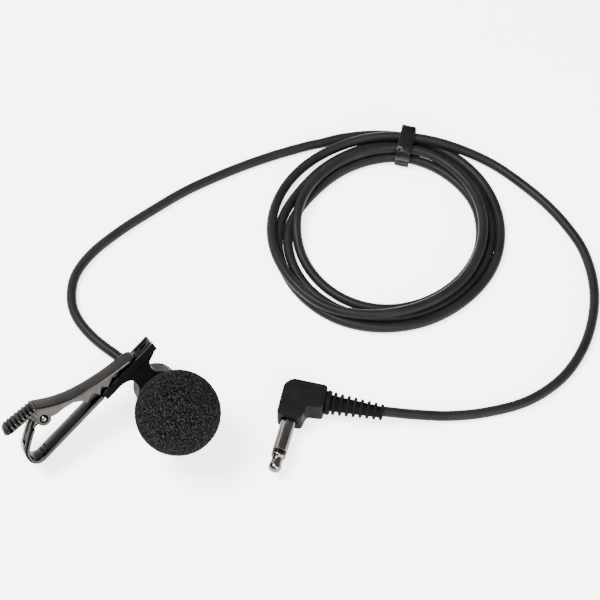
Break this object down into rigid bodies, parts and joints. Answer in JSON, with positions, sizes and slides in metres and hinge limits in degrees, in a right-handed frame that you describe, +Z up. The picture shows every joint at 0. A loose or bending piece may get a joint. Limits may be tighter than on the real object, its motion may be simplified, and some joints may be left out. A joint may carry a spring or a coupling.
{
  "type": "lavalier microphone",
  "caption": "Lavalier microphone: foam windscreen and capsule in a ring holder on a spring clip, with a coiled, tied cord and a right-angle jack plug.",
  "frame": {"origin": "on the surface that the microphone lies on, under the middle of the clip and microphone head, cord and plug left out", "axes": "+Z up from the surface; +X to the right along the clip's plan, from its thumb end towards its tip; +Y away, from the foam ball towards the coiled cord"},
  "size_m": [0.1428, 0.098, 0.0272],
  "materials": {
    "windscreen_foam": "open-cell foam, matt",
    "microphone_metal": "smooth satin black",
    "dark_steel": "blackened",
    "capsule_felt": "felt",
    "capsule_aluminium": "drawn",
    "circuit_board": "lacquered",
    "gasket_rubber": "moulded",
    "black_plastic": "moulded, slight sheen",
    "gunmetal": "polished black nickel",
    "nickel": "polished nickel",
    "cord_jacket": "soft matt jacket",
    "tie_strap": "smooth, glossy",
    "plug_plastic": "moulded, fine satin",
    "jack_insulator": "smooth"
  },
  "bodies": {
    "base": {"lower_jaw": "gunmetal", "pivot_pin": "nickel", "jaw_spring": "dark_steel", "ring_holder": "black_plastic", "holder_rivet": "dark_steel", "mic_cord_boot": "black_plastic", "cord_mic_lead": "cord_jacket", "cord_coil": "cord_jacket", "cord_plug_lead": "cord_jacket", "tie_strap": "tie_strap", "tie_curl": "tie_strap", "tie_tongue": "tie_strap", "plug_strain_relief": "plug_plastic", "plug_body": "plug_plastic", "jack_sleeve": "nickel", "jack_insulator": "jack_insulator", "jack_tip": "nickel"},
    "upper_jaw": {"upper_jaw": "gunmetal"},
    "mic_head": {"mic_head_shell": "microphone_metal", "mic_front_grille": "dark_steel", "capsule_felt": "capsule_felt", "capsule_can": "capsule_aluminium", "capsule_board": "circuit_board", "capsule_gasket": "gasket_rubber", "mic_rear_cap": "black_plastic"},
    "windscreen": {"foam_windscreen": "windscreen_foam"}
  },
  "joints": [
    {"name": "jaw_open", "type": "hinge", "parent": "base", "child": "upper_jaw", "pos_m": [-0.01611, -0.00351, 0.01277], "axis": [0.3381, -0.689, 0.6411], "range_deg": [0, 24], "stiffness_Nm_per_rad": 0.02, "springref_deg": -17.19, "deforming": ["jaw_spring"]},
    {"name": "mic_turn", "type": "hinge", "parent": "base", "child": "mic_head", "pos_m": [0.01065, 0.005, 0.0078], "axis": [0.3381, -0.689, 0.6411], "range_deg": [-30, 30]},
    {"name": "windscreen_slide", "type": "slide", "parent": "mic_head", "child": "windscreen", "axis": [0.3381, -0.689, 0.6411], "range_m": [0, 0.014]}
  ]
}
